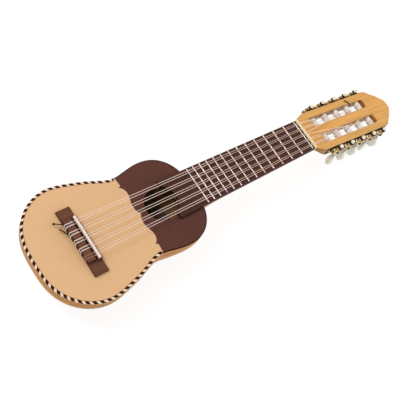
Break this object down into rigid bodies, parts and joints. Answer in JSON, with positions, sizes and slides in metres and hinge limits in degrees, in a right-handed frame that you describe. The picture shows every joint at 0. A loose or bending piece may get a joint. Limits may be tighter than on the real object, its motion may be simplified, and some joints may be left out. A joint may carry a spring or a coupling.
{
  "type": "charango",
  "caption": "Ten-string lute with a carved bowl, scalloped veneer, rope binding, slotted head and worm-geared tuners with oval buttons.",
  "frame": {"origin": "centre of the flat on the back of the bowl, on the surface the instrument lies on", "axes": "+X along the strings from the tail to the head, +Z out of the soundboard"},
  "size_m": [0.6489, 0.1698, 0.0782],
  "materials": {
    "bowl_wood": "golden brown carved hardwood under satin varnish",
    "spruce": "pale peach spruce, satin",
    "veneer": "dark red-brown rosewood veneer, satin",
    "rope": "cream and dark brown rope-pattern inlay",
    "edging": "near-black wood strip",
    "neck_wood": "golden brown hardwood under satin varnish",
    "head_wood": "golden light-brown hardwood with lengthwise grain, satin",
    "rosewood": "dark rosewood, satin",
    "bridge_wood": "dark rosewood, satin",
    "fret_metal": "polished nickel silver",
    "bone": "cream bone, polished",
    "nylon": "pale translucent nylon",
    "plate_metal": "brass plate, brushed",
    "screw_metal": "nickel-plated steel",
    "worm_metal": "nickel-plated steel",
    "gear_metal": "brass, machined",
    "pearl": "cream pearl plastic, polished",
    "roller_plastic": "ivory plastic, polished",
    "brace_wood": "unfinished spruce"
  },
  "bodies": {
    "instrument": {"bowl": "bowl_wood", "soundboard": "spruce", "upper_veneer": "veneer", "rope_binding": "rope", "upper_edging": "edging", "neck": "neck_wood", "headstock": "head_wood", "fingerboard": "rosewood", "frets": "fret_metal", "nut": "bone", "bridge": "bridge_wood", "saddle": "bone", "strings": "nylon", "tuner_plate_upper": "plate_metal", "tuner_plate_lower": "plate_metal", "plate_screws": "screw_metal", "upper_bar": "brace_wood", "lower_bar": "brace_wood", "fan_braces": "brace_wood"},
    "key_1": {"worm_1": "worm_metal", "button_1": "pearl"},
    "post_1": {"roller_1": "roller_plastic", "gear_1": "gear_metal"},
    "key_2": {"worm_2": "worm_metal", "button_2": "pearl"},
    "post_2": {"roller_2": "roller_plastic", "gear_2": "gear_metal"},
    "key_3": {"worm_3": "worm_metal", "button_3": "pearl"},
    "post_3": {"roller_3": "roller_plastic", "gear_3": "gear_metal"},
    "key_4": {"worm_4": "worm_metal", "button_4": "pearl"},
    "post_4": {"roller_4": "roller_plastic", "gear_4": "gear_metal"},
    "key_5": {"worm_5": "worm_metal", "button_5": "pearl"},
    "post_5": {"roller_5": "roller_plastic", "gear_5": "gear_metal"},
    "key_6": {"worm_6": "worm_metal", "button_6": "pearl"},
    "post_6": {"roller_6": "roller_plastic", "gear_6": "gear_metal"},
    "key_7": {"worm_7": "worm_metal", "button_7": "pearl"},
    "post_7": {"roller_7": "roller_plastic", "gear_7": "gear_metal"},
    "key_8": {"worm_8": "worm_metal", "button_8": "pearl"},
    "post_8": {"roller_8": "roller_plastic", "gear_8": "gear_metal"},
    "key_9": {"worm_9": "worm_metal", "button_9": "pearl"},
    "post_9": {"roller_9": "roller_plastic", "gear_9": "gear_metal"},
    "key_10": {"worm_10": "worm_metal", "button_10": "pearl"},
    "post_10": {"roller_10": "roller_plastic", "gear_10": "gear_metal"}
  },
  "joints": [
    {"name": "key_turn_1", "type": "hinge", "parent": "instrument", "child": "key_1", "pos_m": [0.38121, 0.0384, 0.05372], "axis": [0.1736, 0, 0.9848], "continuous": true},
    {"name": "post_turn_1", "type": "hinge", "parent": "instrument", "child": "post_1", "pos_m": [0.37264, 0.015, 0.05523], "axis": [0, 1, 0], "continuous": true},
    {"name": "key_turn_2", "type": "hinge", "parent": "instrument", "child": "key_2", "pos_m": [0.4073, 0.0384, 0.04911], "axis": [0.1736, 0, 0.9848], "continuous": true},
    {"name": "post_turn_2", "type": "hinge", "parent": "instrument", "child": "post_2", "pos_m": [0.39874, 0.015, 0.05063], "axis": [0, 1, 0], "continuous": true},
    {"name": "key_turn_3", "type": "hinge", "parent": "instrument", "child": "key_3", "pos_m": [0.4334, 0.0384, 0.04451], "axis": [0.1736, 0, 0.9848], "continuous": true},
    {"name": "post_turn_3", "type": "hinge", "parent": "instrument", "child": "post_3", "pos_m": [0.42483, 0.015, 0.04602], "axis": [0, 1, 0], "continuous": true},
    {"name": "key_turn_4", "type": "hinge", "parent": "instrument", "child": "key_4", "pos_m": [0.4595, 0.0384, 0.03991], "axis": [0.1736, 0, 0.9848], "continuous": true},
    {"name": "post_turn_4", "type": "hinge", "parent": "instrument", "child": "post_4", "pos_m": [0.45093, 0.015, 0.04142], "axis": [0, 1, 0], "continuous": true},
    {"name": "key_turn_5", "type": "hinge", "parent": "instrument", "child": "key_5", "pos_m": [0.4856, 0.0384, 0.03531], "axis": [0.1736, 0, 0.9848], "continuous": true},
    {"name": "post_turn_5", "type": "hinge", "parent": "instrument", "child": "post_5", "pos_m": [0.47703, 0.015, 0.03682], "axis": [0, 1, 0], "continuous": true},
    {"name": "key_turn_6", "type": "hinge", "parent": "instrument", "child": "key_6", "pos_m": [0.38121, -0.0384, 0.05372], "axis": [0.1736, 0, 0.9848], "continuous": true},
    {"name": "post_turn_6", "type": "hinge", "parent": "instrument", "child": "post_6", "pos_m": [0.37264, -0.015, 0.05523], "axis": [0, 1, 0], "continuous": true},
    {"name": "key_turn_7", "type": "hinge", "parent": "instrument", "child": "key_7", "pos_m": [0.4073, -0.0384, 0.04911], "axis": [0.1736, 0, 0.9848], "continuous": true},
    {"name": "post_turn_7", "type": "hinge", "parent": "instrument", "child": "post_7", "pos_m": [0.39874, -0.015, 0.05063], "axis": [0, 1, 0], "continuous": true},
    {"name": "key_turn_8", "type": "hinge", "parent": "instrument", "child": "key_8", "pos_m": [0.4334, -0.0384, 0.04451], "axis": [0.1736, 0, 0.9848], "continuous": true},
    {"name": "post_turn_8", "type": "hinge", "parent": "instrument", "child": "post_8", "pos_m": [0.42483, -0.015, 0.04602], "axis": [0, 1, 0], "continuous": true},
    {"name": "key_turn_9", "type": "hinge", "parent": "instrument", "child": "key_9", "pos_m": [0.4595, -0.0384, 0.03991], "axis": [0.1736, 0, 0.9848], "continuous": true},
    {"name": "post_turn_9", "type": "hinge", "parent": "instrument", "child": "post_9", "pos_m": [0.45093, -0.015, 0.04142], "axis": [0, 1, 0], "continuous": true},
    {"name": "key_turn_10", "type": "hinge", "parent": "instrument", "child": "key_10", "pos_m": [0.4856, -0.0384, 0.03531], "axis": [0.1736, 0, 0.9848], "continuous": true},
    {"name": "post_turn_10", "type": "hinge", "parent": "instrument", "child": "post_10", "pos_m": [0.47703, -0.015, 0.03682], "axis": [0, 1, 0], "continuous": true}
  ],
  "couplings": [
    {"joint": "post_turn_1", "follows": "key_turn_1", "ratio": 0.071429},
    {"joint": "post_turn_2", "follows": "key_turn_2", "ratio": 0.071429},
    {"joint": "post_turn_3", "follows": "key_turn_3", "ratio": 0.071429},
    {"joint": "post_turn_4", "follows": "key_turn_4", "ratio": 0.071429},
    {"joint": "post_turn_5", "follows": "key_turn_5", "ratio": 0.071429},
    {"joint": "post_turn_6", "follows": "key_turn_6", "ratio": 0.071429},
    {"joint": "post_turn_7", "follows": "key_turn_7", "ratio": 0.071429},
    {"joint": "post_turn_8", "follows": "key_turn_8", "ratio": 0.071429},
    {"joint": "post_turn_9", "follows": "key_turn_9", "ratio": 0.071429},
    {"joint": "post_turn_10", "follows": "key_turn_10", "ratio": 0.071429}
  ]
}
